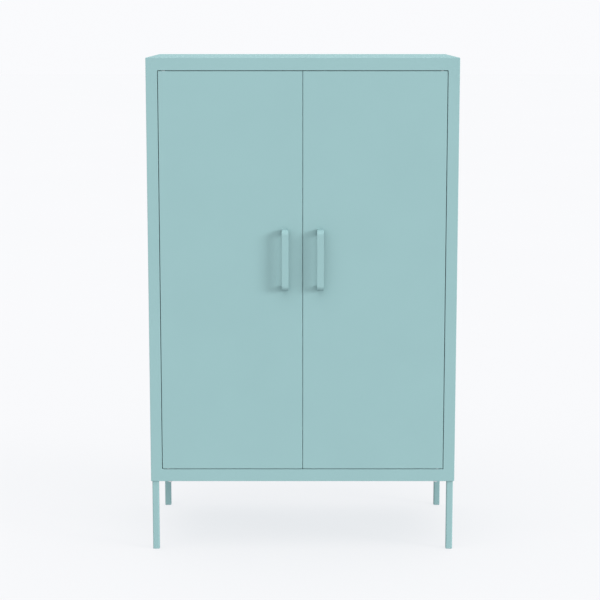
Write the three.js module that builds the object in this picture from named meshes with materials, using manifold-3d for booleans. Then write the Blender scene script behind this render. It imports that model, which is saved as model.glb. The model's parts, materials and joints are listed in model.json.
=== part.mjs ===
// Two-door storage cabinet of powder-coated sheet steel on four slim square-tube legs.
// Millimetres, +Z up. The doors face -Y and +X is to the right of someone facing them.
// The origin is on the floor, under the middle of the cabinet's outline with its handles.
import * as THREE from "three";
import { mergeVertices } from "three/addons/utils/BufferGeometryUtils.js";
import Module from "manifold-3d";

// ---------- driving dimensions ----------
const WIDTH = 800;
const DEPTH = 450; // the body, without the handles
const HEIGHT = 1293.5;
const LEG_HEIGHT = 186;
const LEG_SIZE = 17;
const LEG_INSET = 3;
const SHEET = 1; // thickness of every bent panel
const SEAM = 0.3; // gap where two panels butt
const LIP = 18; // turned edge of the front frame, the top and the base
const LAP = 1; // joggled strip behind a seam, one sheet thick
const SLACK = 0.3; // clearance round a screw or bolt, and between a plug and its tube
const STILE = 29.4; // visible width of the frame beside the doors
const RAIL = 32.3; // visible height of the frame above and below the doors
const FRAME_DEPTH = 45; // how far the frame turns back around the door opening
const FRAME_HEM = 12;
const DOOR_GAP = 1.7; // round the outside of the doors
const CENTRE_GAP = 1.2; // between the doors
const DOOR_THICKNESS = 20;
const HINGE_IN = 14; // hinge axis to the door's side edge
const HINGE_BACK = 6; // hinge axis to the door's front face
const PIN_RADIUS = 3;
const PIN_CLEARANCE = 0.08;
const HANDLE_LENGTH = 158;
const HANDLE_WIDTH = 17.4;
const HANDLE_REACH = 25;
const HANDLE_MIDDLE = 776; // height above the floor
const HANDLE_OFFSET = 45.5; // from the middle of the cabinet
const SHELF_PITCH = 25;
const SHELF_STEPS = { lower: 14, upper: 28 }; // pitches above the floor panel

// ---------- places that follow from them ----------
const HALF = WIDTH / 2;
const FRONT = (HANDLE_REACH - DEPTH) / 2;
const BACK = FRONT + DEPTH;
const BOTTOM = LEG_HEIGHT;
const TOP = HEIGHT;
const OPENING_HALF = HALF - STILE;
const OPENING_BOTTOM = BOTTOM + RAIL;
const OPENING_TOP = TOP - RAIL;
const DOOR_OUTER = OPENING_HALF - DOOR_GAP;
const DOOR_INNER = CENTRE_GAP / 2;
const DOOR_BOTTOM = OPENING_BOTTOM + DOOR_GAP;
const DOOR_TOP = OPENING_TOP - DOOR_GAP;
const HINGE_X = DOOR_OUTER - HINGE_IN;
const HINGE_Y = FRONT + HINGE_BACK;
const LEG_X = HALF - LEG_INSET - LEG_SIZE / 2;
const LEG_Y = { front: FRONT + LEG_INSET + LEG_SIZE / 2, rear: BACK - LEG_INSET - LEG_SIZE / 2 };
const SIDES = { left: -1, right: 1 };

// ---------- materials ----------
function material(color, roughness, metalness) {
  return new THREE.MeshStandardMaterial({ color, roughness, metalness });
}
const powderCoat = material("#9fc4c8", 0.55, 0);
const zinc = material("#b9bcbe", 0.35, 0.9);
const nylon = material("#4a4d50", 0.6, 0);
const footPlastic = material("#6b7376", 0.65, 0);

// ---------- solids ----------
const wasm = await Module();
wasm.setup();

// A closed geometry as a manifold-3d solid.
function solid(geometry) {
  const bare = geometry.clone();
  bare.deleteAttribute("normal");
  bare.deleteAttribute("uv");
  const merged = mergeVertices(bare, 1e-4);
  const vertProperties = merged.attributes.position.array;
  const triVerts = new Uint32Array(merged.index.array);
  return new wasm.Manifold(new wasm.Mesh({ numProp: 3, vertProperties, triVerts }));
}

// A manifold-3d solid as a flat-shaded geometry.
function geometryOf(body) {
  const { vertProperties, triVerts } = body.getMesh();
  const shared = new THREE.BufferGeometry();
  shared.setAttribute("position", new THREE.BufferAttribute(vertProperties, 3));
  shared.setIndex(new THREE.BufferAttribute(triVerts, 1));
  const flat = shared.toNonIndexed();
  flat.computeVertexNormals();
  return flat;
}

function join(...bodies) {
  return bodies.reduce((whole, next) => whole.add(next));
}

function cut(body, ...tools) {
  return tools.reduce((left, tool) => left.subtract(tool), body);
}

// A box from its two opposite corners, in either order.
function block([x0, y0, z0], [x1, y1, z1]) {
  const size = [Math.abs(x1 - x0), Math.abs(y1 - y0), Math.abs(z1 - z0)];
  const box = new THREE.BoxGeometry(...size);
  box.translate((x0 + x1) / 2, (y0 + y1) / 2, (z0 + z1) / 2);
  return solid(box);
}

// An upright round bar, or with fewer facets a hexagonal one.
function upright(radius, x, y, z0, z1, facets = 24) {
  const bar = new THREE.CylinderGeometry(radius, radius, z1 - z0, facets);
  bar.rotateX(Math.PI / 2).translate(x, y, (z0 + z1) / 2);
  return solid(bar);
}

// A round bar along Y.
function level(radius, x, y0, y1, z, facets = 24) {
  const bar = new THREE.CylinderGeometry(radius, radius, y1 - y0, facets);
  bar.translate(x, (y0 + y1) / 2, z);
  return solid(bar);
}

// ---------- carcass ----------
// Square holes that the legs pass through, in the base and in the frame's lower lip.
const LEG_MARGIN = 0.5;
function legHoles() {
  const reach = LEG_SIZE / 2 + LEG_MARGIN;
  const places = [-LEG_X, LEG_X].flatMap((x) => Object.values(LEG_Y).map((y) => [x, y]));
  return places.map(([x, y]) =>
    block([x - reach, y - reach, BOTTOM - SHEET], [x + reach, y + reach, BOTTOM + 2 * SHEET]),
  );
}

// Each leg is bolted at two places, one along X and one along Y from its middle.
const BOLT_OFFSET = 38;
const BOLT_RADIUS = 3;
const BOLT_HEAD_RADIUS = 5.77; // to the corners of a hexagon 10 mm across its flats
const BOLT_HEAD_HEIGHT = 4;
function boltPlaces(side, end) {
  const x = side * LEG_X;
  const y = LEG_Y[end];
  const inward = end === "front" ? 1 : -1;
  return { side: [x - side * BOLT_OFFSET, y], end: [x, y + inward * BOLT_OFFSET] };
}

function boltHoles(z0, z1) {
  const places = Object.values(SIDES).flatMap((side) =>
    Object.keys(LEG_Y).flatMap((end) => Object.values(boltPlaces(side, end))),
  );
  return places.map(([x, y]) => upright(BOLT_RADIUS + SLACK, x, y, z0, z1));
}

// One welded frame: the face, its turned outer lips and a deep return around the doors.
const BUSHING_RADIUS = 4.5;
function frontFrame() {
  const shell = cut(
    block([-HALF, FRONT, BOTTOM], [HALF, FRONT + LIP, TOP]),
    block([-HALF + SHEET, FRONT + SHEET, BOTTOM + SHEET], [HALF - SHEET, FRONT + 2 * LIP, TOP - SHEET]),
  );
  const opening = (grow, y0, y1) =>
    block(
      [-OPENING_HALF - grow, y0, OPENING_BOTTOM - grow],
      [OPENING_HALF + grow, y1, OPENING_TOP + grow],
    );
  const rear = FRONT + FRAME_DEPTH;
  const whole = join(shell, opening(SHEET, FRONT, rear), opening(FRAME_HEM, rear - SHEET, rear));
  const bushingHoles = [-HINGE_X, HINGE_X].map((x) =>
    upright(BUSHING_RADIUS + SLACK, x, HINGE_Y, OPENING_BOTTOM - RAIL / 2, OPENING_TOP + RAIL / 2),
  );
  return cut(
    whole,
    opening(0, FRONT - SHEET, rear + SHEET),
    ...bushingHoles,
    ...legHoles(),
    ...boltHoles(BOTTOM - SHEET, BOTTOM + 2 * SHEET),
  );
}

// A side: the outer sheet, a joggled strip that laps its neighbours, and a rear flange.
const LAP_REACH = 40; // how far a lap strip runs in from the cabinet's edge
const LAP_INSET = 4; // where it starts
const LAP_FOOT = 5; // where it starts at the bottom, clear of the plates of the legs
const REAR_FLANGE = 15;
function sidePanel(side) {
  const outer = side * HALF;
  const inner = side * (HALF - SHEET);
  const lapped = side * (HALF - SHEET - LAP);
  const sheet = block(
    [outer, FRONT + LIP + SEAM, BOTTOM + LIP + SEAM],
    [inner, BACK, TOP - LIP - SEAM],
  );
  const lap = cut(
    block([inner, FRONT + LAP_INSET, BOTTOM + LAP_FOOT], [lapped, BACK - LAP_INSET, TOP - LAP_INSET]),
    block(
      [inner + side, FRONT + LAP_REACH, BOTTOM + LAP_REACH],
      [lapped - side, BACK - LAP_REACH / 2, TOP - LAP_REACH],
    ),
  );
  const flange = block(
    [inner, BACK - SHEET, BOTTOM + LIP + SEAM],
    [inner - side * REAR_FLANGE, BACK, TOP - LIP - SEAM],
  );
  return join(sheet, lap, flange);
}

// The top and the base are the same shallow tray, open towards the inside of the cabinet.
const LAP_HALF = LEG_X - BOLT_OFFSET - 20; // its lap strip ends short of the bolts of the legs
function tray(outerZ, inward) {
  const y0 = FRONT + LIP + SEAM;
  const innerZ = outerZ + inward * SHEET;
  const shell = cut(
    block([-HALF, y0, outerZ], [HALF, BACK, outerZ + inward * LIP]),
    block([-HALF + SHEET, y0 - 1, innerZ], [HALF - SHEET, BACK - SHEET, outerZ + inward * 2 * LIP]),
  );
  const lap = block(
    [-LAP_HALF, FRONT + LAP_INSET, innerZ],
    [LAP_HALF, FRONT + LAP_REACH, innerZ + inward * LAP],
  );
  return join(shell, lap);
}

function basePanel() {
  return cut(tray(BOTTOM, 1), ...legHoles(), ...boltHoles(BOTTOM - SHEET, BOTTOM + 2 * SHEET));
}

// The back lies against the insides of the side flanges and of the top's and base's rear lips.
function backPanel() {
  const half = HALF - SHEET - SEAM;
  const end = 5; // short of the top and of the base
  return block([-half, BACK - 2 * SHEET, BOTTOM + end], [half, BACK - SHEET, TOP - end]);
}

// The inside floor is level with the frame and stands over the plates of the legs.
const PLATE_THICKNESS = 3;
const PLATE_SIZE = 60;
const FLOOR_INSET = 4; // clear of the sides and of their lap strips
function floorPanel() {
  const half = HALF - FLOOR_INSET;
  const y0 = FRONT + FRAME_DEPTH + SEAM;
  const y1 = BACK - 2 * SHEET - SEAM;
  const z1 = OPENING_BOTTOM;
  const feet = BOTTOM + SHEET + PLATE_THICKNESS;
  return cut(
    block([-half, y0, feet], [half, y1, z1]),
    block([-half + SHEET, y0 + SHEET, feet - 1], [half - SHEET, y1 - SHEET, z1 - SHEET]),
    ...[y0, y1].map((y) => block([-half + SHEET, y - 2, feet - 1], [half - SHEET, y + 2, z1 - LIP])),
  );
}

// ---------- legs ----------
// A square tube, open below, welded to a plate that lies on the base inside the cabinet.
const TUBE_WALL = 1.5;
const GLIDE_FLANGE = 2;
const GLIDE_PLUG = 14;
function leg(side, end) {
  const x = side * LEG_X;
  const y = LEG_Y[end];
  const inward = end === "front" ? 1 : -1;
  const half = LEG_SIZE / 2;
  const bore = half - TUBE_WALL;
  const plateZ = BOTTOM + SHEET;
  const corner = [x + side * (half + LEG_MARGIN), y - inward * (half + LEG_MARGIN)];
  const tube = block([x - half, y - half, GLIDE_FLANGE], [x + half, y + half, plateZ]);
  const plate = block(
    [corner[0], corner[1], plateZ],
    [corner[0] - side * PLATE_SIZE, corner[1] + inward * PLATE_SIZE, plateZ + PLATE_THICKNESS],
  );
  return cut(
    join(tube, plate),
    block([x - bore, y - bore, 0], [x + bore, y + bore, plateZ]),
    ...boltHoles(BOTTOM, plateZ + PLATE_THICKNESS + 1),
  );
}

const BOLT_TIP = 3; // how far a bolt stands out of the plate
function legBolt(x, y) {
  const tip = BOTTOM + SHEET + PLATE_THICKNESS + BOLT_TIP;
  const head = upright(BOLT_HEAD_RADIUS, x, y, BOTTOM - BOLT_HEAD_HEIGHT, BOTTOM, 6);
  return join(head, upright(BOLT_RADIUS, x, y, BOTTOM - 1, tip));
}

function footGlide(side, end) {
  const x = side * LEG_X;
  const y = LEG_Y[end];
  const half = LEG_SIZE / 2;
  const plug = half - TUBE_WALL - SLACK;
  return join(
    block([x - half, y - half, 0], [x + half, y + half, GLIDE_FLANGE]),
    block([x - plug, y - plug, GLIDE_FLANGE], [x + plug, y + plug, GLIDE_FLANGE + GLIDE_PLUG]),
  );
}

// ---------- shelves ----------
const UPRIGHT_INSET = 75; // from the cabinet's front and back to the shelf uprights
const UPRIGHT_WIDTH = 20;
const UPRIGHT_DEPTH = 8;
const UPRIGHT_WALL = 1.2;
const UPRIGHT_END = LAP_REACH + 10; // from the cabinet's top and bottom to an upright's ends
const UPRIGHT_FACE = HALF - SHEET - UPRIGHT_DEPTH;
const UPRIGHT_Y = { front: FRONT + UPRIGHT_INSET, rear: BACK - UPRIGHT_INSET };
function shelfUpright(side, end) {
  const y = UPRIGHT_Y[end];
  const half = UPRIGHT_WIDTH / 2;
  const z0 = BOTTOM + UPRIGHT_END;
  const z1 = TOP - UPRIGHT_END;
  const back = side * (HALF - SHEET);
  const face = side * UPRIGHT_FACE;
  return cut(
    block([back, y - half, z0], [face, y + half, z1]),
    block(
      [back + side, y - half + UPRIGHT_WALL, z0 - 1],
      [face + side * UPRIGHT_WALL, y + half - UPRIGHT_WALL, z1 + 1],
    ),
  );
}

const SHELF_EDGE = 25; // height of the folded front and rear edges
const SHELF_SIDE = 15; // height of the folded side edges
const SHELF_HEM = 9; // width of the fold under the front and rear edges
const SHELF_GAP = { side: 2, front: 4, rear: 12 }; // to the uprights, the frame and the cabinet's back
function shelfTop(steps) {
  return OPENING_BOTTOM + steps * SHELF_PITCH;
}

function shelf(steps) {
  const half = UPRIGHT_FACE - SHELF_GAP.side;
  const y0 = FRONT + FRAME_DEPTH + SHELF_GAP.front;
  const y1 = BACK - SHELF_GAP.rear;
  const z1 = shelfTop(steps);
  const z0 = z1 - SHELF_EDGE;
  const below = z0 - 1;
  return cut(
    block([-half, y0, z0], [half, y1, z1]),
    block([-half + SHEET, y0 + SHEET, z0 + SHEET], [half - SHEET, y1 - SHEET, z1 - SHEET]),
    block([-half - 1, y0 + SHELF_HEM, below], [half + 1, y1 - SHELF_HEM, z1 - SHELF_SIDE]),
    ...[-1, 1].map((side) =>
      block([side * (half - SHEET), y0 + SHEET, below], [side * (half + 1), y1 - SHEET, z1 - SHELF_SIDE]),
    ),
  );
}

const CLIP_TONGUE = 16;
const CLIP_WIDTH = 14;
const CLIP_THICKNESS = 1.5;
function shelfClip(side, end, steps) {
  const y = UPRIGHT_Y[end];
  const z = shelfTop(steps) - SHELF_SIDE;
  const face = side * UPRIGHT_FACE;
  const leaf = (reach, drop) =>
    block([face, y - CLIP_WIDTH / 2, z - drop], [face - side * reach, y + CLIP_WIDTH / 2, z]);
  return join(leaf(CLIP_TONGUE, CLIP_THICKNESS), leaf(CLIP_THICKNESS, CLIP_TONGUE));
}

// ---------- hinges and catches ----------
const BUSHING_FLANGE = 1;
const BUSHING_LENGTH = 8;
// A flanged plastic bushing in the frame, its flange in the gap above or below the door.
function hingeBushing(side, atTop) {
  const bore = PIN_RADIUS + PIN_CLEARANCE;
  const flange = BUSHING_RADIUS + 1;
  const profile = [
    [bore, -BUSHING_FLANGE],
    [flange, -BUSHING_FLANGE],
    [flange, 0],
    [BUSHING_RADIUS, 0],
    [BUSHING_RADIUS, BUSHING_LENGTH],
    [bore, BUSHING_LENGTH],
    [bore, -BUSHING_FLANGE],
  ];
  const ring = new THREE.LatheGeometry(profile.map(([r, h]) => new THREE.Vector2(r, h)), 48);
  ring.rotateX(atTop ? Math.PI / 2 : -Math.PI / 2);
  ring.translate(side * HINGE_X, HINGE_Y, atTop ? OPENING_TOP : OPENING_BOTTOM);
  return solid(ring);
}

// A pin with a collar, held by a block inside the door, that turns in the bushing.
const PIN_BLOCK = { halfWidth: 8, height: 12, behind: 7 };
const COLLAR_WIDTH = 2;
function hingePin(side, atTop) {
  const x = side * HINGE_X;
  const up = atTop ? 1 : -1;
  const edge = atTop ? DOOR_TOP : DOOR_BOTTOM;
  const inside = edge - up * SHEET;
  const bar = (radius, from, to) => upright(radius, x, HINGE_Y, Math.min(from, to), Math.max(from, to), 48);
  return join(
    block(
      [x - PIN_BLOCK.halfWidth, FRONT + SHEET + SEAM, inside - up * PIN_BLOCK.height],
      [x + PIN_BLOCK.halfWidth, HINGE_Y + PIN_BLOCK.behind, inside],
    ),
    bar(PIN_RADIUS, inside - up, edge + up * (DOOR_GAP + BUSHING_LENGTH - SLACK)),
    bar(PIN_RADIUS + COLLAR_WIDTH, edge, edge + up * (DOOR_GAP - BUSHING_FLANGE - PIN_CLEARANCE)),
  );
}

// A magnet housing with an ear at each end, screwed up under the frame's upper return.
const CATCH_X = 29; // middle of each catch from the middle of the cabinet
const CATCH_SIZE = [32, 20, 12];
const CATCH_EAR = [9, 12, 2.5]; // its reach, width and thickness
const EAR_INSET = 2; // from the catch's rear
function magnetCatch(side) {
  const x = side * CATCH_X;
  const half = CATCH_SIZE[0] / 2;
  const y0 = FRONT + DOOR_THICKNESS + SHEET + SEAM;
  const y1 = y0 + CATCH_SIZE[1];
  const z = OPENING_TOP;
  return join(
    block([x - half, y0, z - CATCH_SIZE[2]], [x + half, y1, z]),
    block(
      [x - half - CATCH_EAR[0], y1 - EAR_INSET - CATCH_EAR[1], z - CATCH_EAR[2]],
      [x + half + CATCH_EAR[0], y1 - EAR_INSET, z],
    ),
  );
}

// ---------- doors ----------
const SKIN_DEPTH = DOOR_THICKNESS - SHEET;
const HANDLE_ARM = 12; // thickness of each arm of a handle
const SCREW_Z = (HANDLE_LENGTH - HANDLE_ARM) / 2;
const SCREW_RADIUS = 2;
const SCREW_HEAD = { radius: 4, height: 2.5 };
const SCREW_BITE = 7; // how far a screw runs into the handle
function screwHoles(side, y0, y1) {
  return [-SCREW_Z, SCREW_Z].map((z) =>
    level(SCREW_RADIUS + SLACK, side * HANDLE_OFFSET, y0, y1, HANDLE_MIDDLE + z),
  );
}

// The outer skin is a pan whose edges turn back all round.
function doorSkin(side) {
  const inner = side * DOOR_INNER;
  const outer = side * DOOR_OUTER;
  return cut(
    block([inner, FRONT, DOOR_BOTTOM], [outer, FRONT + SKIN_DEPTH, DOOR_TOP]),
    block(
      [inner + side * SHEET, FRONT + SHEET, DOOR_BOTTOM + SHEET],
      [outer - side * SHEET, FRONT + DOOR_THICKNESS + 1, DOOR_TOP - SHEET],
    ),
    upright(PIN_RADIUS + SLACK, side * HINGE_X, HINGE_Y, DOOR_BOTTOM - 1, DOOR_TOP + 1),
    ...screwHoles(side, FRONT - 1, FRONT + 2 * SHEET),
  );
}

// The inner panel closes the pan from behind.
function doorLiner(side) {
  const y0 = FRONT + SKIN_DEPTH;
  return cut(
    block([side * DOOR_INNER, y0, DOOR_BOTTOM], [side * DOOR_OUTER, y0 + SHEET, DOOR_TOP]),
    ...screwHoles(side, y0 - 1, y0 + 2 * SHEET),
  );
}

// The steel plate that the magnet holds, just below the door's top edge.
const STRIKE_MARGIN = 1; // wider than the magnet at each end, and below the door's top edge
function strikePlate(side) {
  const x = side * CATCH_X;
  const half = CATCH_SIZE[0] / 2 + STRIKE_MARGIN;
  const y0 = FRONT + DOOR_THICKNESS;
  const z1 = DOOR_TOP - STRIKE_MARGIN;
  return block([x - half, y0, DOOR_TOP - CATCH_SIZE[2] + STRIKE_MARGIN], [x + half, y0 + SHEET, z1]);
}

const QUARTER_TURN = 0.5523; // a cubic with its controls this far along follows a quarter circle

// An outline from its right-angled corners, each given as [x, y, radius].
function roundedOutline(corners) {
  const shape = new THREE.Shape();
  corners.forEach(([x, y, radius], i) => {
    const here = new THREE.Vector2(x, y);
    const towards = (j) => {
      const [nx, ny] = corners[(j + corners.length) % corners.length];
      return new THREE.Vector2(nx, ny).sub(here).setLength(radius).add(here);
    };
    const into = towards(i - 1);
    const out = towards(i + 1);
    if (i === 0) shape.moveTo(into.x, into.y);
    else shape.lineTo(into.x, into.y);
    if (radius === 0) return;
    const first = into.clone().lerp(here, QUARTER_TURN);
    const second = out.clone().lerp(here, QUARTER_TURN);
    shape.bezierCurveTo(first.x, first.y, second.x, second.y, out.x, out.y);
  });
  return shape;
}

// A bow handle: two straight arms and a thinner flat bar, extruded across its width.
const HANDLE_BAR = 5.5; // thickness of the bar
const HANDLE_CORNER = { outer: 13, inner: 8 };
function handle(side) {
  const end = HANDLE_LENGTH / 2;
  const inside = HANDLE_REACH - HANDLE_BAR;
  const armInside = end - HANDLE_ARM;
  const outline = roundedOutline([
    [0, end, 0],
    [HANDLE_REACH, end, HANDLE_CORNER.outer],
    [HANDLE_REACH, -end, HANDLE_CORNER.outer],
    [0, -end, 0],
    [0, -armInside, 0],
    [inside, -armInside, HANDLE_CORNER.inner],
    [inside, armInside, HANDLE_CORNER.inner],
    [0, armInside, 0],
  ]);
  const bow = new THREE.ExtrudeGeometry(outline, {
    depth: HANDLE_WIDTH,
    curveSegments: 8,
    bevelEnabled: false,
  });
  bow.translate(0, 0, -HANDLE_WIDTH / 2);
  const outwards = new THREE.Vector3(0, -1, 0);
  const up = new THREE.Vector3(0, 0, 1);
  bow.applyMatrix4(new THREE.Matrix4().makeBasis(outwards, up, outwards.clone().cross(up)));
  bow.translate(side * HANDLE_OFFSET, FRONT, HANDLE_MIDDLE);
  return cut(solid(bow), ...screwHoles(side, FRONT - SCREW_BITE - 1, FRONT + 1));
}

function handleScrew(side, z) {
  const x = side * HANDLE_OFFSET;
  const y = FRONT + DOOR_THICKNESS;
  return join(
    level(SCREW_HEAD.radius, x, y, y + SCREW_HEAD.height, HANDLE_MIDDLE + z),
    level(SCREW_RADIUS, x, FRONT - SCREW_BITE, y + 1, HANDLE_MIDDLE + z),
  );
}

// ---------- assembly ----------
const cabinet = new THREE.Group();
const carcass = new THREE.Group();
const doors = { left: new THREE.Group(), right: new THREE.Group() };
cabinet.add(carcass, doors.left, doors.right);

function add(group, name, body, finish) {
  const mesh = new THREE.Mesh(geometryOf(body), finish);
  mesh.name = name;
  group.add(mesh);
}

add(carcass, "front_frame", frontFrame(), powderCoat);
add(carcass, "top_panel", tray(TOP, -1), powderCoat);
add(carcass, "base_panel", basePanel(), powderCoat);
add(carcass, "back_panel", backPanel(), powderCoat);
add(carcass, "floor_panel", floorPanel(), powderCoat);
for (const [tier, steps] of Object.entries(SHELF_STEPS)) {
  add(carcass, `${tier}_shelf`, shelf(steps), powderCoat);
}

for (const [name, side] of Object.entries(SIDES)) {
  add(carcass, `${name}_side_panel`, sidePanel(side), powderCoat);
  add(carcass, `${name}_magnet_catch`, magnetCatch(side), nylon);

  for (const end of Object.keys(LEG_Y)) {
    add(carcass, `${end}_${name}_leg`, leg(side, end), powderCoat);
    add(carcass, `${end}_${name}_glide`, footGlide(side, end), footPlastic);
    for (const [place, [x, y]] of Object.entries(boltPlaces(side, end))) {
      add(carcass, `${end}_${name}_leg_${place}_bolt`, legBolt(x, y), zinc);
    }
    add(carcass, `${end}_${name}_shelf_upright`, shelfUpright(side, end), powderCoat);
    for (const [tier, steps] of Object.entries(SHELF_STEPS)) {
      add(carcass, `${end}_${name}_${tier}_shelf_clip`, shelfClip(side, end, steps), zinc);
    }
  }

  const door = doors[name];
  add(door, `${name}_door_skin`, doorSkin(side), powderCoat);
  add(door, `${name}_door_liner`, doorLiner(side), powderCoat);
  add(door, `${name}_handle`, handle(side), powderCoat);
  add(door, `${name}_strike_plate`, strikePlate(side), zinc);
  for (const [height, up] of Object.entries({ upper: 1, lower: -1 })) {
    const atTop = up === 1;
    add(carcass, `${name}_${height}_hinge_bushing`, hingeBushing(side, atTop), nylon);
    add(door, `${name}_${height}_hinge_pin`, hingePin(side, atTop), zinc);
    add(door, `${name}_${height}_handle_screw`, handleScrew(side, up * SCREW_Z), zinc);
  }
}

export default cabinet;
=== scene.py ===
# A two-door storage cabinet of powder-coated sheet steel on four slim legs: its finished looks.
# Metres, +Z up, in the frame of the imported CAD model. The doors face -Y.
import json
import math

import bmesh
import bpy
from mathutils import Matrix, Vector


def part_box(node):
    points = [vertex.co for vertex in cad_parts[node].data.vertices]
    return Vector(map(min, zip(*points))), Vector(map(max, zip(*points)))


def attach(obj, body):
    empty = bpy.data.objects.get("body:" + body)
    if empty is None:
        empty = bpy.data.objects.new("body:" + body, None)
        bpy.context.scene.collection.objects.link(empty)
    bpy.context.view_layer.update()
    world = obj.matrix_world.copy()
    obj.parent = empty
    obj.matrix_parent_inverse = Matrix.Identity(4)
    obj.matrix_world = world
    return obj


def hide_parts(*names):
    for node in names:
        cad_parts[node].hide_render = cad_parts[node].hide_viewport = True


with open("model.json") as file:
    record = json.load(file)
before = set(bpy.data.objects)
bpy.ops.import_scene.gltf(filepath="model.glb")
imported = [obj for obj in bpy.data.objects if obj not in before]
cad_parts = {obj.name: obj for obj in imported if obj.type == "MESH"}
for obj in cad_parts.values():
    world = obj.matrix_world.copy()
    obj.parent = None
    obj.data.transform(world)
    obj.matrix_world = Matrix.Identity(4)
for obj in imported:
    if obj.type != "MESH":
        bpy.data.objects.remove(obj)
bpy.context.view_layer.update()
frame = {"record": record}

MM = 0.001
SIDES = {"left": -1, "right": 1}
ENDS = {"front": -1, "rear": 1}
LEVELS = {"lower": -1, "upper": 1}
BODY_OF = {
    node: body
    for body, nodes in frame["record"]["behaviour"]["bodies"].items()
    for node in nodes
}

# ---------- sizes of the sheet metal ----------
SHEET = 1 * MM
BEND = 1.5 * MM  # outer radius of a fold
STEPS = 4  # segments in a quarter turn
SEAM = 0.3 * MM
LIP = 18 * MM
LAP = 1 * MM
LAP_REACH = 40 * MM  # how far a lap strip runs in from the cabinet's edge
NOTCH = 2.5 * MM  # relief at the open corners of the shelves and the floor
PRESSED = 0.8 * MM  # outer radius of the tighter edges of the doors and of the front frame
PRESSED_INSIDE = 0.2 * MM
DOOR_CORNER = 1.2 * MM
OPENING_CORNER = 1.5 * MM
FRAME_HEM = 12 * MM
REAR_FLANGE = 15 * MM
SHELF_SIDE = 15 * MM  # height of a shelf's folded side edges
SHELF_HEM = 9 * MM
UPRIGHT_WALL = 1.2 * MM
SLOT_PITCH = 25 * MM
PLATE_CORNER = 2 * MM  # radius of a flat sheet's corners
EASE = 0.2 * MM  # the small chamfer of a turned or cut edge
THROUGH = 3 * MM  # how far a cutter runs each way from a sheet's face
TOUCHING = 0.01 * MM  # points closer than this are one
FOLD_FROM = 0.1  # least angle, in radians, between two walls for a fold
SHARP_FROM = math.radians(35)  # least angle of an edge that is shaded sharp

# ---------- sizes of the legs, the hardware and the handles ----------
SLACK = 0.3 * MM  # clearance round a screw, a bolt, a pin or a plug
LEG_MARGIN = 0.5 * MM  # clearance round a leg
TUBE_WALL = 1.5 * MM
TUBE_CORNER = 2.5 * MM
LEG_PLATE = 3 * MM
GLIDE_FLANGE = 2 * MM
BOLT_RADIUS = 3 * MM
BOLT_FLAT = 5 * MM  # half of the hexagon's width across its flats
CLIP_THICKNESS = 1.5 * MM
PIN_RADIUS = 3 * MM
PIN_CLEARANCE = 0.08 * MM
BUSHING_RADIUS = 4.5 * MM
BUSHING_FLANGE = 1 * MM  # its thickness, and how far it stands out around the barrel
BUSHING_LENGTH = 8 * MM
COLLAR_WIDTH = 2 * MM
CATCH_HALF = 16 * MM
CATCH_EAR = 2.5 * MM  # thickness of a magnet catch's ears
SCREW_RADIUS = 2 * MM
HANDLE_ARM = 12 * MM
HANDLE_BAR = 5.5 * MM
HANDLE_BENDS = {"outer": 13 * MM, "inner": 8 * MM}
HANDLE_EDGE = 0.8 * MM
RECESS_MARGIN = 60 * MM  # from a door's edges to the pressed recess in its liner
RECESS_DEPTH = 3 * MM
RECESS_SLOPE = 6 * MM
RECESS_CORNER = 16 * MM

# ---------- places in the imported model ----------
frame_lo, frame_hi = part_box("front_frame")
door_lo, door_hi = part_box("right_door_skin")
FRONT = frame_lo.y
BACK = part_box("left_side_panel")[1].y
BOTTOM = frame_lo.z
TOP = frame_hi.z
HALF = frame_hi.x
OPENING_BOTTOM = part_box("floor_panel")[1].z
OPENING_TOP = TOP - (OPENING_BOTTOM - BOTTOM)
DOOR_GAP = door_lo.z - OPENING_BOTTOM
OPENING_HALF = door_hi.x + DOOR_GAP
SIDE_FRONT = FRONT + LIP + SEAM


def middle(node):
    lo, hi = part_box(node)
    return (lo + hi) / 2


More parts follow.
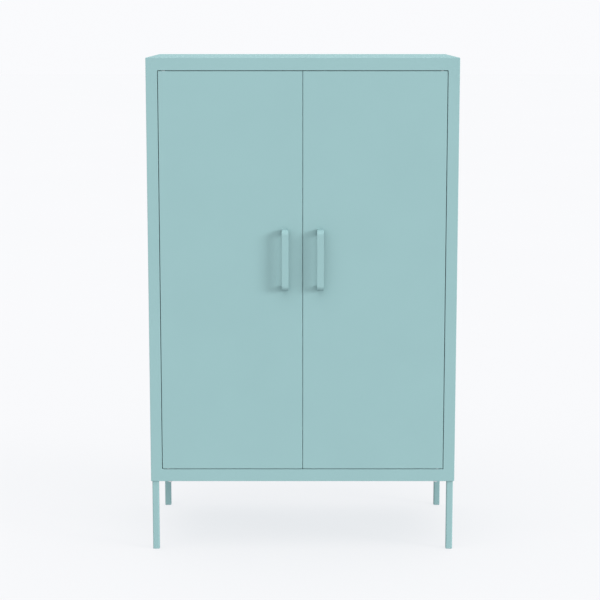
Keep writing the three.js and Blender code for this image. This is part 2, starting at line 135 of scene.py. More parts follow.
# ---------- materials ----------
class Look:
    """A Principled material whose colour, roughness and relief follow the object's own coordinates."""

    def __init__(self, name, metallic=0.0, specular=0.5):
        self.material = bpy.data.materials.new(name)
        self.material.use_nodes = True
        self.tree = self.material.node_tree
        self.shader = self.tree.nodes["Principled BSDF"]
        self.shader.inputs["Metallic"].default_value = metallic
        self.shader.inputs["Specular IOR Level"].default_value = specular
        self.place = self.tree.nodes.new("ShaderNodeTexCoord").outputs["Object"]

    def noise(self, size, detail=2.0):
        """Soft noise whose spots are about size across."""
        node = self.tree.nodes.new("ShaderNodeTexNoise")
        node.inputs["Scale"].default_value = 1 / size
        node.inputs["Detail"].default_value = detail
        self.tree.links.new(self.place, node.inputs["Vector"])
        return node.outputs["Fac"]

    def cells(self, size):
        """Crystal-like cells about size across."""
        node = self.tree.nodes.new("ShaderNodeTexVoronoi")
        node.inputs["Scale"].default_value = 1 / size
        self.tree.links.new(self.place, node.inputs["Vector"])
        return node.outputs["Distance"]

    def colour(self, factor, dark, light):
        ramp = self.tree.nodes.new("ShaderNodeValToRGB")
        ramp.color_ramp.elements[0].position = 0.3
        ramp.color_ramp.elements[0].color = (*dark, 1)
        ramp.color_ramp.elements[1].position = 0.7
        ramp.color_ramp.elements[1].color = (*light, 1)
        self.tree.links.new(factor, ramp.inputs["Fac"])
        self.tree.links.new(ramp.outputs["Color"], self.shader.inputs["Base Color"])

    def roughness(self, factor, low, high):
        spread = self.tree.nodes.new("ShaderNodeMapRange")
        spread.inputs["From Min"].default_value = 0.3
        spread.inputs["From Max"].default_value = 0.7
        spread.inputs["To Min"].default_value = low
        spread.inputs["To Max"].default_value = high
        self.tree.links.new(factor, spread.inputs["Value"])
        self.tree.links.new(spread.outputs["Result"], self.shader.inputs["Roughness"])

    def relief(self, *layers):
        """Bumps, each given as (height texture, depth in metres)."""
        below = None
        for height, depth in layers:
            bump = self.tree.nodes.new("ShaderNodeBump")
            bump.inputs["Distance"].default_value = depth
            self.tree.links.new(height, bump.inputs["Height"])
            if below:
                self.tree.links.new(below, bump.inputs["Normal"])
            below = bump.outputs["Normal"]
        self.tree.links.new(below, self.shader.inputs["Normal"])


def powder_coat():
    look = Look("powder_coat", specular=0.025)
    look.colour(look.noise(140 * MM), (0.187, 0.299, 0.305), (0.191, 0.305, 0.311))
    look.roughness(look.noise(25 * MM), 0.7, 0.78)
    look.relief((look.noise(2.4 * MM), 0.03 * MM), (look.noise(0.5 * MM), 0.004 * MM))
    return look.material


def zinc_plated_steel():
    look = Look("zinc_plated_steel", metallic=1.0)
    look.colour(look.cells(1.5 * MM), (0.50, 0.52, 0.55), (0.60, 0.61, 0.62))
    look.roughness(look.noise(4 * MM), 0.28, 0.42)
    look.relief((look.noise(0.6 * MM), 0.006 * MM))
    return look.material


def dark_nylon():
    look = Look("dark_nylon", specular=0.4)
    look.colour(look.noise(6 * MM), (0.055, 0.060, 0.066), (0.072, 0.077, 0.084))
    look.roughness(look.noise(3 * MM), 0.42, 0.55)
    look.relief((look.noise(0.4 * MM), 0.01 * MM))
    return look.material


def foot_plastic():
    look = Look("foot_plastic", specular=0.4)
    look.colour(look.noise(5 * MM), (0.215, 0.300, 0.315), (0.240, 0.330, 0.345))
    look.roughness(look.noise(2 * MM), 0.5, 0.62)
    look.relief((look.noise(0.5 * MM), 0.02 * MM))
    return look.material


LOOKS = {
    "powder_coat": powder_coat(),
    "zinc_plated_steel": zinc_plated_steel(),
    "dark_nylon": dark_nylon(),
    "foot_plastic": foot_plastic(),
}


# ---------- outlines and surfaces ----------
def circle(x, y, radius, steps=32):
    turns = [2 * math.pi * i / steps for i in range(steps)]
    return [(x + radius * math.cos(a), y + radius * math.sin(a)) for a in turns]


def quarter(radius, steps=STEPS):
    """How far a fold of this radius lies from the two faces it joins, from the first to the second."""
    turns = [math.pi / 2 * i / steps for i in range(steps + 1)]
    return [(radius * (1 - math.cos(a)), radius * (1 - math.sin(a))) for a in turns]


def softened(corners, steps=STEPS):
    """An outline whose right-angled corners, each given as (x, y, radius), are rounded."""
    points = []
    for i, (x, y, radius) in enumerate(corners):
        here = Vector((x, y))
        before = (Vector(corners[i - 1][:2]) - here).normalized()
        after = (Vector(corners[(i + 1) % len(corners)][:2]) - here).normalized()
        if radius:
            points += [tuple(here + before * b + after * a) for a, b in quarter(radius, steps)]
        else:
            points.append((x, y))
    return points


def rounded_rectangle(x0, x1, y0, y1, radius):
    return softened([(x1, y1, radius), (x0, y1, radius), (x0, y0, radius), (x1, y0, radius)])


def loop(outline, axis, at):
    """An outline as a loop of points across the x, y or z axis."""
    order = {"x": lambda u, v: (at, u, v), "y": lambda u, v: (u, at, v), "z": lambda u, v: (u, v, at)}
    return [Vector(order[axis](u, v)) for u, v in outline]


def loft(bm, loops, closed=False, start=True):
    """Joins loops by strips of faces. An open loft is capped at its end, and at its start too."""
    rows = [[bm.verts.new(point) for point in each] for each in loops]
    pairs = list(zip(rows, rows[1:]))
    if closed:
        pairs.append((rows[-1], rows[0]))
    for one, two in pairs:
        for i in range(len(one)):
            j = (i + 1) % len(one)
            bm.faces.new((one[i], one[j], two[j], two[i]))
    if not closed:
        bm.faces.new(rows[-1])
        if start:
            bm.faces.new(rows[0][::-1])


def block(bm, lo, hi, radius=0.3 * MM, steps=2):
    """A box with rounded edges."""
    lo, hi = Vector(lo), Vector(hi)
    size = [abs(a - b) for a, b in zip(lo, hi)]
    shape = Matrix.Translation((lo + hi) / 2) @ Matrix.Diagonal((*size, 1))
    made = bmesh.ops.create_cube(bm, size=1, matrix=shape)
    edges = list({edge for vertex in made["verts"] for edge in vertex.link_edges})
    bmesh.ops.bevel(bm, geom=edges, offset=radius, segments=steps, profile=0.5, affect="EDGES")


def wall(bm, a, b, inside):
    """A rectangle between opposite corners that share one coordinate, facing away from inside."""
    flat = min(range(3), key=lambda i: abs(a[i] - b[i]))
    i, j = [k for k in range(3) if k != flat]
    corners = []
    for u, v in ((a[i], a[j]), (b[i], a[j]), (b[i], b[j]), (a[i], b[j])):
        corner = Vector(a)
        corner[i], corner[j] = u, v
        corners.append(bm.verts.new(corner))
    face = bm.faces.new(corners)
    face.normal_update()
    if face.normal.dot(face.calc_center_median() - inside) < 0:
        face.normal_flip()


def fold(bm):
    """Joins the walls where they meet, and rounds those edges."""
    bmesh.ops.remove_doubles(bm, verts=bm.verts[:], dist=TOUCHING)
    bm.normal_update()
    folds = [e for e in bm.edges if len(e.link_faces) == 2 and e.calc_face_angle() > FOLD_FROM]
    bmesh.ops.bevel(bm, geom=folds, offset=BEND, segments=STEPS, profile=0.5, affect="EDGES")


def folded(walls, inside):
    """A bent sheet's outer surface from its walls, each given by two opposite corners."""
    bm = bmesh.new()
    for a, b in walls:
        wall(bm, a, b, Vector(inside))
    fold(bm)
    return bm


def open_tray(lo, hi, ends, sides, hem=0.0):
    """A sheet whose four edges turn down, with a relief notch at each corner."""
    bm = bmesh.new()
    inside = (lo + hi) / 2
    x0, x1 = lo.x + NOTCH, hi.x - NOTCH
    y0, y1 = lo.y + NOTCH, hi.y - NOTCH
    outline = [
        (lo.x, y0), (x0, y0), (x0, lo.y), (x1, lo.y), (x1, y0), (hi.x, y0),
        (hi.x, y1), (x1, y1), (x1, hi.y), (x0, hi.y), (x0, y1), (lo.x, y1),
    ]  # fmt: skip
    bm.faces.new([bm.verts.new((x, y, hi.z)) for x, y in outline])
    for y, inward in ((lo.y, 1), (hi.y, -1)):
        wall(bm, (x0, y, hi.z), (x1, y, hi.z - ends), inside)
        if hem:
            wall(bm, (x0, y, hi.z - ends), (x1, y + inward * hem, hi.z - ends), inside)
    for x in (lo.x, hi.x):
        wall(bm, (x, y0, hi.z), (x, y1, hi.z - sides), inside)
    fold(bm)
    return bm


# ---------- pieces ----------
def raw_object(bm, name):
    mesh = bpy.data.meshes.new(name)
    bm.to_mesh(mesh)
    bm.free()
    made = bpy.data.objects.new(name, mesh)
    bpy.context.scene.collection.objects.link(made)
    return made


def modify(piece, kind, **settings):
    """Adds one modifier and applies it."""
    modifier = piece.modifiers.new(kind, kind)
    for key, value in settings.items():
        setattr(modifier, key, value)
    depsgraph = bpy.context.evaluated_depsgraph_get()
    old = piece.data
    piece.data = bpy.data.meshes.new_from_object(piece.evaluated_get(depsgraph))
    piece.modifiers.clear()
    bpy.data.meshes.remove(old)


def cut(piece, cutter):
    tool = raw_object(cutter, "cutter")
    modify(piece, "BOOLEAN", object=tool, operation="DIFFERENCE", solver="EXACT")
    bpy.data.meshes.remove(tool.data)


def piece(name, bm, slot, body, thickness=0.0, cutter=None, extra=None):
    """Turns a bmesh into a finished piece on a body. A sheet is given its thickness inwards."""
    if not thickness:
        bmesh.ops.recalc_face_normals(bm, faces=bm.faces[:])
    made = raw_object(bm, name)
    if thickness:
        modify(made, "SOLIDIFY", thickness=thickness, offset=-1, use_even_offset=True)
    if cutter:
        cut(made, cutter)
    if extra:
        whole = bmesh.new()
        whole.from_mesh(made.data)
        added = raw_object(extra, "extra")
        whole.from_mesh(added.data)
        bpy.data.meshes.remove(added.data)
        whole.to_mesh(made.data)
        whole.free()
    made.data.shade_smooth()
    made.data.set_sharp_from_angle(angle=SHARP_FROM)
    modify(made, "WEIGHTED_NORMAL", keep_sharp=True, weight=80)
    made.data.materials.clear()
    made.data.materials.append(LOOKS[slot])
    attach(made, body)
    return made


def finished(node, bm, slot="powder_coat", **more):
    """A finished piece that stands for one CAD node."""
    made = piece(f"{node}_finished", bm, slot, BODY_OF[node], **more)
    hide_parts(node)
    return made


# ---------- carcass ----------
def outer_loop(inset, y):
    outline = rounded_rectangle(
        -HALF + inset, HALF - inset, BOTTOM + inset, TOP - inset, max(BEND - inset, PRESSED_INSIDE)
    )
    return loop(outline, "y", y)


def opening_loop(grow, y):
    outline = rounded_rectangle(
        -OPENING_HALF - grow,
        OPENING_HALF + grow,
        OPENING_BOTTOM - grow,
        OPENING_TOP + grow,
        OPENING_CORNER + grow,
    )
    return loop(outline, "y", y)


def leg_holes(bm):
    """Cutters for the holes of the legs and of their bolts."""
    for end in ENDS:
        for side in SIDES:
            foot = middle(f"{end}_{side}_glide")
            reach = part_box(f"{end}_{side}_glide")[1].x - foot.x + LEG_MARGIN
            block(
                bm,
                (foot.x - reach, foot.y - reach, BOTTOM - SHEET),
                (foot.x + reach, foot.y + reach, BOTTOM + 2 * SHEET),
                radius=1 * MM,
            )
            for place in ("side", "end"):
                bolt = middle(f"{end}_{side}_leg_{place}_bolt")
                hole = circle(bolt.x, bolt.y, BOLT_RADIUS + SLACK)
                loft(bm, [loop(hole, "z", BOTTOM + z) for z in (-SHEET, 2 * SHEET)])


def front_frame():
    """The face, its outer lips and the deep return round the doors, as one closed loft."""
    rear = frame_hi.y
    outside, inside = quarter(PRESSED), quarter(PRESSED_INSIDE)
    loops = [outer_loop(0, FRONT + LIP)]
    loops += [outer_loop(a, FRONT + b) for a, b in outside]
    loops += [opening_loop(a, FRONT + b) for a, b in reversed(outside)]
    loops += [opening_loop(a, rear - b) for a, b in outside]
    loops += [opening_loop(FRAME_HEM, rear), opening_loop(FRAME_HEM, rear - SHEET)]
    loops += [opening_loop(SHEET + a, rear - SHEET - b) for a, b in reversed(inside)]
    loops += [opening_loop(SHEET + a, FRONT + SHEET + b) for a, b in inside]
    loops += [outer_loop(SHEET + a, FRONT + SHEET + b) for a, b in reversed(inside)]
    loops += [outer_loop(SHEET, FRONT + LIP)]
    bm = bmesh.new()
    loft(bm, loops, closed=True)
    holes = bmesh.new()
    leg_holes(holes)
    for side in SIDES:
        pin = middle(f"{side}_upper_hinge_bushing")
        hole = circle(pin.x, pin.y, BUSHING_RADIUS + SLACK)
        for z in (OPENING_BOTTOM, OPENING_TOP):
            loft(holes, [loop(hole, "z", z + d) for d in (-BUSHING_LENGTH, BUSHING_LENGTH)])
    finished("front_frame", bm, cutter=holes)


DIMPLE_RADIUS = 2.6 * MM
DIMPLE_DEPTH = 0.25 * MM


def weld_dimples(bm, places):
    """Cutters for the shallow round marks of spot welds in the rearmost face, at the given (x, z)."""
    steps = ((1, 0.2 * MM), (1, 0), (0.8, -0.7 * DIMPLE_DEPTH), (0.3, -DIMPLE_DEPTH))
    for x, z in places:
        rings = [(circle(x, z, share * DIMPLE_RADIUS, 16), BACK + height) for share, height in steps]
        loft(bm, [loop(ring, "y", y) for ring, y in rings])


END_LAP_HALF = 330 * MM  # half the length of the lap strip in the top and in the base
END_DIMPLE_PITCH = 110 * MM


def end_tray(node, z, inward):
    """The top or the base: a sheet with lips along its sides and its back, and a strip inside."""
    edge = z + inward * LIP
    walls = [
        ((-HALF, SIDE_FRONT, z), (HALF, BACK, z)),
        ((-HALF, SIDE_FRONT, z), (-HALF, BACK, edge)),
        ((HALF, SIDE_FRONT, z), (HALF, BACK, edge)),
        ((-HALF, BACK, z), (HALF, BACK, edge)),
    ]
    bm = folded(walls, (0, 0, edge))
    lap = bmesh.new()
    block(
        lap,
        (-END_LAP_HALF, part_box(node)[0].y, z + inward * SHEET),
        (END_LAP_HALF, FRONT + LAP_REACH, z + inward * (SHEET + LAP)),
        radius=0.2 * MM,
    )
    cutter = bmesh.new()
    weld_dimples(cutter, [(x * END_DIMPLE_PITCH, z + inward * LIP / 2) for x in range(-3, 4)])
    if inward > 0:
        leg_holes(cutter)
    finished(node, bm, thickness=SHEET, cutter=cutter, extra=lap)


LAP_INSET = 4 * MM  # where a side's lap strip ends at the back
SIDE_DIMPLES = {"count": 9, "end": 40 * MM, "inset": 9 * MM}  # in the rear flange


def side_panel(side):
    """A side with its rear flange, and a strip inside it that laps its neighbours."""
    node = f"{side}_side_panel"
    sign = SIDES[side]
    outer = sign * HALF
    z0, z1 = BOTTOM + LIP + SEAM, TOP - LIP - SEAM
    flange = outer - sign * REAR_FLANGE
    walls = [
        ((outer, SIDE_FRONT, z0), (outer, BACK, z1)),
        ((outer, BACK, z0), (flange, BACK, z1)),
    ]
    bm = folded(walls, ((outer + flange) / 2, 0, (z0 + z1) / 2))
    lo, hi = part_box(node)
    around = rounded_rectangle(lo.y, BACK - LAP_INSET, lo.z, hi.z, PLATE_CORNER)
    within = rounded_rectangle(
        FRONT + LAP_REACH,
        BACK - LAP_REACH / 2,
        BOTTOM + LAP_REACH,
        TOP - LAP_REACH,
        PLATE_CORNER,
    )
    near, far = outer - sign * SHEET, outer - sign * (SHEET + LAP)
    places = ((around, near), (around, far), (within, far), (within, near))
    lap = bmesh.new()
    loft(lap, [loop(outline, "x", x) for outline, x in places], closed=True)
    bmesh.ops.recalc_face_normals(lap, faces=lap.faces[:])
    count, end = SIDE_DIMPLES["count"], SIDE_DIMPLES["end"]
    pitch = (z1 - z0 - 2 * end) / (count - 1)
    x = outer - sign * SIDE_DIMPLES["inset"]
    cutter = bmesh.new()
    weld_dimples(cutter, [(x, z0 + end + pitch * i) for i in range(count)])
    finished(node, bm, thickness=SHEET, cutter=cutter, extra=lap)


def inset_loop(node, inset, y, corner):
    """The outline of a node's box seen from the front, drawn in by inset, at y."""
    lo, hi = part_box(node)
    outline = rounded_rectangle(lo.x + inset, hi.x - inset, lo.z + inset, hi.z - inset, corner)
    return loop(outline, "y", y)


def flat_plate(node, edge, slot, both=True):
    """A flat sheet with the edge of its rear, and of its front if both, taken off."""
    lo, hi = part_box(node)
    places = [(edge, lo.y), (0, lo.y + edge)] if both else [(0, lo.y)]
    places += [(0, hi.y - edge), (edge, hi.y)]
    bm = bmesh.new()
    loft(bm, [inset_loop(node, inset, y, PLATE_CORNER - inset) for inset, y in places])
    finished(node, bm, slot)


def floor_panel():
    lo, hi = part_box("floor_panel")
    bm = open_tray(lo, hi, ends=LIP, sides=hi.z - lo.z)
    finished("floor_panel", bm, thickness=SHEET)


def shelf(level):
    lo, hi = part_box(f"{level}_shelf")
    bm = open_tray(lo, hi, ends=hi.z - lo.z, sides=SHELF_SIDE, hem=SHELF_HEM)
    finished(f"{level}_shelf", bm, thickness=SHEET)


SLOT = (10 * MM, 3.2 * MM)  # width and height of a slot for a shelf clip
SLOT_END = 5 * MM  # least height from an upright's end to the middle of a slot


def shelf_upright(end, side):
    """A channel with a slot for the clips at every shelf pitch above the floor panel."""
    node = f"{end}_{side}_shelf_upright"
    lo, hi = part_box(node)
    sign = SIDES[side]
    face, root = (lo.x, hi.x) if sign > 0 else (hi.x, lo.x)
    walls = [
        ((face, lo.y, lo.z), (face, hi.y, hi.z)),
        ((face, lo.y, lo.z), (root, lo.y, hi.z)),
        ((face, hi.y, lo.z), (root, hi.y, hi.z)),
    ]
    bm = folded(walls, (root, (lo.y + hi.y) / 2, (lo.z + hi.z) / 2))
    slots = bmesh.new()
    y = (lo.y + hi.y) / 2
    half_width, half_height = SLOT[0] / 2, SLOT[1] / 2
    first = math.ceil((lo.z - OPENING_BOTTOM) / SLOT_PITCH)
    last = math.floor((hi.z - OPENING_BOTTOM) / SLOT_PITCH)
    for step in range(first, last + 1):
        z = OPENING_BOTTOM + step * SLOT_PITCH
        outline = rounded_rectangle(
            y - half_width, y + half_width, z - half_height, z + half_height, 1 * MM
        )
        if lo.z + SLOT_END < z < hi.z - SLOT_END:
            loft(slots, [loop(outline, "x", face + d) for d in (-THROUGH, THROUGH)])
    finished(node, bm, thickness=UPRIGHT_WALL, cutter=slots)


def shelf_clip(end, side, level):
    node = f"{end}_{side}_{level}_shelf_clip"
    lo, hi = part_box(node)
    face, reach = (hi.x, lo.x) if SIDES[side] > 0 else (lo.x, hi.x)
    walls = [
        ((face, lo.y, hi.z), (reach, hi.y, hi.z)),
        ((face, lo.y, lo.z), (face, hi.y, hi.z)),
    ]
    bm = folded(walls, (reach, (lo.y + hi.y) / 2, lo.z))
    finished(node, bm, "zinc_plated_steel", thickness=CLIP_THICKNESS)


# ---------- legs ----------
def square_loop(lo, hi, inset, z, corner):
    """The outline of a box seen from above, drawn in by inset, at z."""
    outline = rounded_rectangle(lo.x + inset, hi.x - inset, lo.y + inset, hi.y - inset, corner)
    return loop(outline, "z", z)


def leg(end, side):
    """A square tube with its mounting plate."""
    node = f"{end}_{side}_leg"
    lo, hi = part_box(node)
    foot_lo, foot_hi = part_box(f"{end}_{side}_glide")
    plate_z = hi.z - LEG_PLATE

    def tube(inset, z):
        return square_loop(foot_lo, foot_hi, inset, z, TUBE_CORNER - inset)

    bm = bmesh.new()
    rings = [tube(EASE, lo.z), tube(0, lo.z + EASE), tube(0, plate_z)]
    rings += [tube(TUBE_WALL, plate_z), tube(TUBE_WALL, lo.z)]
    loft(bm, rings, closed=True)
    plate = bmesh.new()
    block(plate, (lo.x, lo.y, plate_z), hi, radius=0.5 * MM)
    finished(node, bm, extra=plate)


def glide(end, side):
    """The plastic end of a leg: a flange with a rounded sole, and a plug up inside the tube."""
    node = f"{end}_{side}_glide"
    lo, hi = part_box(node)
    plug = TUBE_WALL + SLACK
    flange_z = lo.z + GLIDE_FLANGE
    # Each ring of the profile is (inset, height, corner radius), from the sole up.
    profile = [
        (0.8 * MM, lo.z, 1.7 * MM),
        (0.25 * MM, lo.z + 0.25 * MM, 2.2 * MM),
        (0, lo.z + 0.8 * MM, TUBE_CORNER),
        (0, flange_z - 0.1 * MM, TUBE_CORNER),
        (0.1 * MM, flange_z, 2.4 * MM),
        (plug, flange_z, 1 * MM),
        (plug, hi.z - 1 * MM, 1 * MM),
        (plug + 0.8 * MM, hi.z, 0.6 * MM),
    ]
    bm = bmesh.new()
    loft(bm, [square_loop(lo, hi, inset, z, corner) for inset, z, corner in profile])
    finished(node, bm, "foot_plastic")


BOLT_SIDES = 36
BOLT_TIP = 0.5 * MM
BOLT_REACH = 6 * MM  # just beyond the hexagon's corners


def leg_bolt(end, side, place):
    """A hexagon bolt, head down, with its head's corners taken off below."""
    node = f"{end}_{side}_leg_{place}_bolt"
    lo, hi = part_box(node)
    x, y = (lo.x + hi.x) / 2, (lo.y + hi.y) / 2
    turns = [2 * math.pi * i / BOLT_SIDES for i in range(BOLT_SIDES)]

    def ring(radii, z):
        return loop([(x + r * math.sin(a), y + r * math.cos(a)) for a, r in zip(turns, radii)], "z", z)

    def hexagon(limit, z):
        """A hexagon whose corners reach no further out than limit."""
        offs = [(a + math.pi / 6) % (math.pi / 3) - math.pi / 6 for a in turns]
        return ring([min(BOLT_FLAT / math.cos(off), limit) for off in offs], z)

    def round_ring(radius, z):
        return ring([radius] * BOLT_SIDES, z)

    rings = [
        round_ring(BOLT_FLAT - EASE, lo.z),
        hexagon(BOLT_FLAT + 0.35 * MM, lo.z + 0.25 * MM),
        hexagon(BOLT_REACH, lo.z + 0.7 * MM),
        hexagon(BOLT_REACH, BOTTOM),
        round_ring(BOLT_RADIUS, BOTTOM),
        round_ring(BOLT_RADIUS, hi.z - BOLT_TIP),
        round_ring(BOLT_RADIUS - BOLT_TIP, hi.z),
    ]
    bm = bmesh.new()
    loft(bm, rings)
    finished(node, bm, "zinc_plated_steel")


# ---------- hinges and catches ----------
def turned(bm, x, y, profile, axis="z", closed=False, steps=32):
    """A round part from its (radius, place along the axis) profile. x and y are across the axis."""
    loft(bm, [loop(circle(x, y, r, steps), axis, at) for r, at in profile], closed=closed)


def hinge_bushing(side, level):
    node = f"{side}_{level}_hinge_bushing"
    centre = middle(node)
    up = LEVELS[level]
    edge = OPENING_TOP if up > 0 else OPENING_BOTTOM
    bore = PIN_RADIUS + PIN_CLEARANCE
    flange = BUSHING_RADIUS + BUSHING_FLANGE
    heights = [
        (bore, -BUSHING_FLANGE),
        (flange - EASE, -BUSHING_FLANGE),
        (flange, EASE - BUSHING_FLANGE),
        (flange, 0),
        (BUSHING_RADIUS, 0),
        (BUSHING_RADIUS, BUSHING_LENGTH - 0.5 * MM),
        (BUSHING_RADIUS - 0.4 * MM, BUSHING_LENGTH),
        (bore, BUSHING_LENGTH),
    ]
    bm = bmesh.new()
    profile = [(radius, edge + up * height) for radius, height in heights]
    turned(bm, centre.x, centre.y, profile, closed=True, steps=48)
    finished(node, bm, "dark_nylon")


PIN_BLOCK_HEIGHT = 12 * MM
PIN_ROOT = 4 * MM  # how far the pin runs into its block
PIN_TIP = 0.6 * MM


def hinge_pin(side, level):
    """A pin with a collar, and the block inside the door that holds it."""
    node = f"{side}_{level}_hinge_pin"
    lo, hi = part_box(node)
    up = LEVELS[level]
    axis = middle(f"{side}_{level}_hinge_bushing")
    edge = door_hi.z if up > 0 else door_lo.z
    inside = edge - up * SHEET
    tip = hi.z if up > 0 else lo.z
    top = edge + up * (DOOR_GAP - BUSHING_FLANGE - PIN_CLEARANCE)
    collar = PIN_RADIUS + COLLAR_WIDTH
    profile = [
        (PIN_RADIUS, inside - up * PIN_ROOT),
        (PIN_RADIUS, edge),
        (collar - EASE, edge),
        (collar, edge + up * EASE),
        (collar, top),
        (PIN_RADIUS, top),
        (PIN_RADIUS, tip - up * PIN_TIP),
        (PIN_RADIUS - PIN_TIP, tip),
    ]
    bm = bmesh.new()
    turned(bm, axis.x, axis.y, profile, steps=48)
    held = bmesh.new()
    root = inside - up * PIN_BLOCK_HEIGHT
    block(held, (lo.x, lo.y, root), (hi.x, hi.y, inside), radius=0.5 * MM)
    finished(node, bm, "zinc_plated_steel", extra=held)


def cross(bm, x, y, axis, at, size):
    """A cross-shaped cutter for the recess of a screw head. x and y are across the axis."""
    reach, half_width, depth = size
    outline = []
    for turn in range(4):
        c, s = math.cos(turn * math.pi / 2), math.sin(turn * math.pi / 2)
        for u, v in ((reach, -half_width), (reach, half_width), (half_width, half_width)):
            outline.append((x + c * u - s * v, y + s * u + c * v))
    loft(bm, [loop(outline, axis, at + d) for d in (-depth, depth)])


POLE = {"inset": 3 * MM, "half": 0.6 * MM, "proud": 0.8 * MM}  # the steel plates of a magnet
EAR_MIDDLE = 8 * MM  # from a catch's rear to the middle of its ears
EAR_HALF = 6 * MM
EAR_SCREW = 4.5 * MM  # from a catch's ends to its screws
CATCH_SCREW = {"shank": 1.5 * MM, "head": 3 * MM, "height": 1.2 * MM}
CATCH_CROSS = (1.8 * MM, 0.35 * MM, 0.8 * MM)  # reach, half width and depth


def magnet_catch(side):
    """A magnet housing with two ears, the steel plates at its face, and its two screws."""
    node = f"{side}_magnet_catch"
    lo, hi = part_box(node)
    centre = (lo + hi) / 2
    ear_y = hi.y - EAR_MIDDLE
    ear_z = hi.z - CATCH_EAR
    left, right = centre.x - CATCH_HALF, centre.x + CATCH_HALF
    bm = bmesh.new()
    block(bm, (left, lo.y + POLE["proud"], lo.z), (right, hi.y, hi.z), radius=0.8 * MM, steps=3)
    block(bm, (lo.x, ear_y - EAR_HALF, ear_z), (hi.x, ear_y + EAR_HALF, hi.z), radius=0.5 * MM)
    finished(node, bm, "dark_nylon")

    poles = bmesh.new()
    inset, half = POLE["inset"], POLE["half"]
    for z in (lo.z + 2.5 * MM, hi.z - 4 * MM):
        block(
            poles,
            (left + inset, lo.y, z - half),
            (right - inset, hi.y - 2 * MM, z + half),
            radius=0.15 * MM,
        )
    piece(f"{side}_catch_pole_plates", poles, "zinc_plated_steel", "carcass")

    screws = bmesh.new()
    recesses = bmesh.new()
    head = CATCH_SCREW["head"]
    head_z = ear_z - CATCH_SCREW["height"]
    profile = [
        (CATCH_SCREW["shank"], hi.z),
        (head, ear_z),
        (head - EASE, ear_z - 0.7 * MM),
        (1.6 * MM, head_z),
    ]
    for x in (lo.x + EAR_SCREW, hi.x - EAR_SCREW):
        turned(screws, x, ear_y, profile)
        cross(recesses, x, ear_y, "z", head_z, CATCH_CROSS)
    piece(f"{side}_catch_screws", screws, "zinc_plated_steel", "carcass", cutter=recesses)


# ---------- doors ----------
def handle_holes(bm, side, y0, y1):
    """Cutters for the holes of the handle's screws."""
    for level in LEVELS:
        centre = middle(f"{side}_{level}_handle_screw")
        hole = circle(centre.x, centre.z, SCREW_RADIUS + SLACK)
        loft(bm, [loop(hole, "y", y) for y in (y0, y1)])


def door_skin(side):
    """A pan whose edges turn back all round."""
    node = f"{side}_door_skin"
    lo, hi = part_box(node)

    def ring(inset, depth):
        return inset_loop(node, inset, lo.y + depth, max(DOOR_CORNER - inset, PRESSED_INSIDE))

    rings = [ring(SHEET + a, SHEET + b) for a, b in reversed(quarter(PRESSED_INSIDE))]
    rings += [ring(SHEET, hi.y - lo.y), ring(0, hi.y - lo.y)]
    rings += [ring(a, b) for a, b in quarter(PRESSED)]
    bm = bmesh.new()
    loft(bm, rings)
    cutter = bmesh.new()
    handle_holes(cutter, side, lo.y - SHEET, lo.y + 2 * SHEET)
    pin = middle(f"{side}_upper_hinge_bushing")
    hole = circle(pin.x, pin.y, PIN_RADIUS + SLACK)
    for z in (lo.z, hi.z):
        loft(cutter, [loop(hole, "z", z + d) for d in (-THROUGH, THROUGH)])
    finished(node, bm, cutter=cutter)


RECESS_STEPS = 6


def door_liner(side):
    """A flat sheet with a shallow pressed recess, whose sides slope in along half a wave."""
    node = f"{side}_door_liner"
    lo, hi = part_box(node)

    def ring(inset, depth, corner):
        return inset_loop(node, inset, hi.y - depth, corner)

    bm = bmesh.new()
    rings = [ring(0, 0, PLATE_CORNER), ring(RECESS_MARGIN, 0, RECESS_CORNER)]
    for i in range(1, RECESS_STEPS + 1):
        t = i / RECESS_STEPS
        depth = RECESS_DEPTH * (1 - math.cos(math.pi * t)) / 2
        rings.append(ring(RECESS_MARGIN + RECESS_SLOPE * t, depth, RECESS_CORNER - RECESS_SLOPE * t))
    loft(bm, rings, start=False)
    bm.normal_update()
    bm.faces.ensure_lookup_table()
    if bm.faces[-1].normal.y < 0:
        bmesh.ops.reverse_faces(bm, faces=bm.faces[:])
    cutter = bmesh.new()
    handle_holes(cutter, side, lo.y - SHEET, hi.y + SHEET)
    finished(node, bm, thickness=SHEET, cutter=cutter)


def handle(side):
    """A bow of two straight arms and a thinner flat bar, with its long edges rounded."""
    node = f"{side}_handle"
    lo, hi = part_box(node)
    bar_back = lo.y + HANDLE_BAR
    low_arm, high_arm = lo.z + HANDLE_ARM, hi.z - HANDLE_ARM
    outer, inner = HANDLE_BENDS["outer"], HANDLE_BENDS["inner"]
    corners = [
        (hi.y, hi.z, 0),
        (lo.y, hi.z, outer),
        (lo.y, lo.z, outer),
        (hi.y, lo.z, 0),
        (hi.y, low_arm, 0),
        (bar_back, low_arm, inner),
        (bar_back, high_arm, inner),
        (hi.y, high_arm, 0),
    ]
    outline = softened(corners, steps=12)
    bm = bmesh.new()
    loft(bm, [loop(outline, "x", x) for x in (lo.x, hi.x)])
    bmesh.ops.recalc_face_normals(bm, faces=bm.faces[:])
    rims = [e for e in bm.edges if abs(e.verts[0].co.x - e.verts[1].co.x) < HANDLE_EDGE]
    bmesh.ops.bevel(
        bm,
        geom=rims,
        offset=HANDLE_EDGE,
        segments=STEPS,
        profile=0.5,
        affect="EDGES",
        clamp_overlap=False,
    )
    finished(node, bm)


SCREW_DOME = {"rim": 0.35, "turn": math.radians(72), "steps": 5}  # the rim is a share of its height
SCREW_CROSS = (2.2 * MM, 0.45 * MM, 1.1 * MM)  # reach, half width and depth


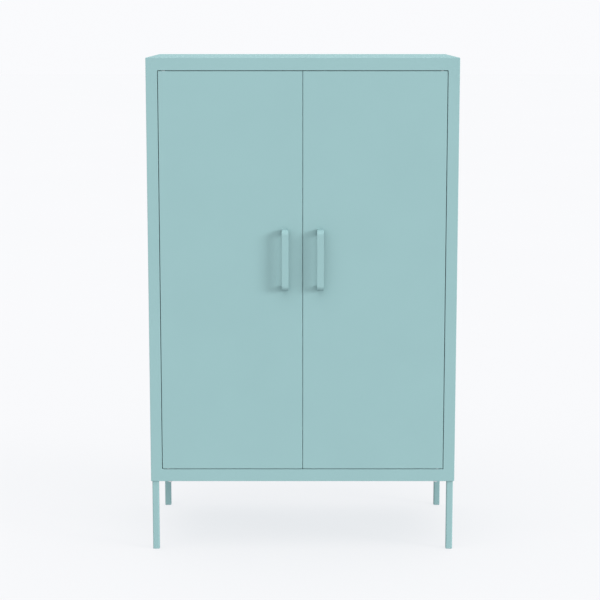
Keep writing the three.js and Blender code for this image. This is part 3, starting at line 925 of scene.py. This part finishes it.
def handle_screw(side, level):
    """A screw with a domed head and a cross recess."""
    node = f"{side}_{level}_handle_screw"
    lo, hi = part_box(node)
    centre = (lo + hi) / 2
    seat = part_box(f"{side}_door_liner")[1].y
    head = hi.x - centre.x
    height = hi.y - seat
    rim, turn, steps = SCREW_DOME["rim"], SCREW_DOME["turn"], SCREW_DOME["steps"]
    profile = [(SCREW_RADIUS, lo.y), (SCREW_RADIUS, seat), (head, seat), (head, seat + rim * height)]
    for i in range(1, steps + 1):
        a = turn * i / steps
        rise = rim + (1 - rim) * math.sin(a) / math.sin(turn)
        profile.append((head * math.cos(a), seat + height * rise))
    bm = bmesh.new()
    turned(bm, centre.x, centre.z, profile, axis="y")
    recess = bmesh.new()
    cross(recess, centre.x, centre.z, "y", hi.y, SCREW_CROSS)
    finished(node, bm, "zinc_plated_steel", cutter=recess)


# ---------- assembly ----------
front_frame()
end_tray("top_panel", TOP, -1)
end_tray("base_panel", BOTTOM, 1)
flat_plate("back_panel", 0.15 * MM, "powder_coat")
floor_panel()
for level in LEVELS:
    shelf(level)
for side in SIDES:
    side_panel(side)
    magnet_catch(side)
    door_skin(side)
    door_liner(side)
    handle(side)
    flat_plate(f"{side}_strike_plate", EASE, "zinc_plated_steel", both=False)
    for level in LEVELS:
        hinge_bushing(side, level)
        hinge_pin(side, level)
        handle_screw(side, level)
    for end in ENDS:
        leg(end, side)
        glide(end, side)
        shelf_upright(end, side)
        for place in ("side", "end"):
            leg_bolt(end, side, place)
        for level in LEVELS:
            shelf_clip(end, side, level)


# ---------- studio ----------
FLOOR_REACH = 40.0


def studio_floor():
    """A wide pale floor that glows a little, so that it runs into the white surround."""
    bm = bmesh.new()
    corners = ((-1, -1), (1, -1), (1, 1), (-1, 1))
    bm.faces.new([bm.verts.new((x * FLOOR_REACH, y * FLOOR_REACH, 0)) for x, y in corners])
    floor = raw_object(bm, "studio_floor")
    look = Look("studio_floor", specular=0.0)
    look.colour(look.noise(1.5), (0.101, 0.092, 0.087), (0.103, 0.094, 0.089))
    look.shader.inputs["Roughness"].default_value = 0.9
    look.shader.inputs["Emission Color"].default_value = (0.935, 0.965, 1, 1)
    look.shader.inputs["Emission Strength"].default_value = 0.788
    floor.data.materials.append(look.material)


def soft_light(name, towards, spread, strength):
    """A distant light with soft shadows. towards points from the cabinet to the light."""
    light = bpy.data.lights.new(name, "SUN")
    light.angle = math.radians(spread)
    light.energy = strength
    lamp = bpy.data.objects.new(name, light)
    lamp.location = Vector(towards) * 5
    lamp.rotation_mode = "QUATERNION"
    lamp.rotation_quaternion = Vector(towards).to_track_quat("Z", "Y")
    bpy.context.scene.collection.objects.link(lamp)


def surround():
    """An even white surround."""
    world = bpy.data.worlds.new("surround")
    bpy.context.scene.world = world
    world.use_nodes = True
    backdrop = world.node_tree.nodes["Background"]
    backdrop.inputs["Color"].default_value = (0.975, 0.98, 1, 1)
    backdrop.inputs["Strength"].default_value = 0.98


CAMERA_PLACE = (-0.007, -4.73247, 1.39339)
CAMERA_TILT = 0.15866  # below the horizon, in radians
FOCAL_LENGTH = 105.82  # in the lens's own millimetres, on a sensor 36 wide


def camera():
    """A camera that looks along +Y and a little down."""
    lens = bpy.data.cameras.new("camera")
    lens.sensor_width = 36
    lens.lens = FOCAL_LENGTH
    eye = bpy.data.objects.new("camera", lens)
    eye.location = CAMERA_PLACE
    eye.rotation_euler = (math.pi / 2 - CAMERA_TILT, 0, 0)
    bpy.context.scene.collection.objects.link(eye)
    bpy.context.scene.camera = eye


studio_floor()
surround()
soft_light("key", (0.868, -0.442, 0.225), 20, 2.9)
soft_light("fill", (-0.2, -0.87, 0.45), 100, 1.61)
soft_light("overhead", (0, 0, 1), 80, 2.15)
camera()
bpy.context.scene.view_settings.view_transform = "Standard"
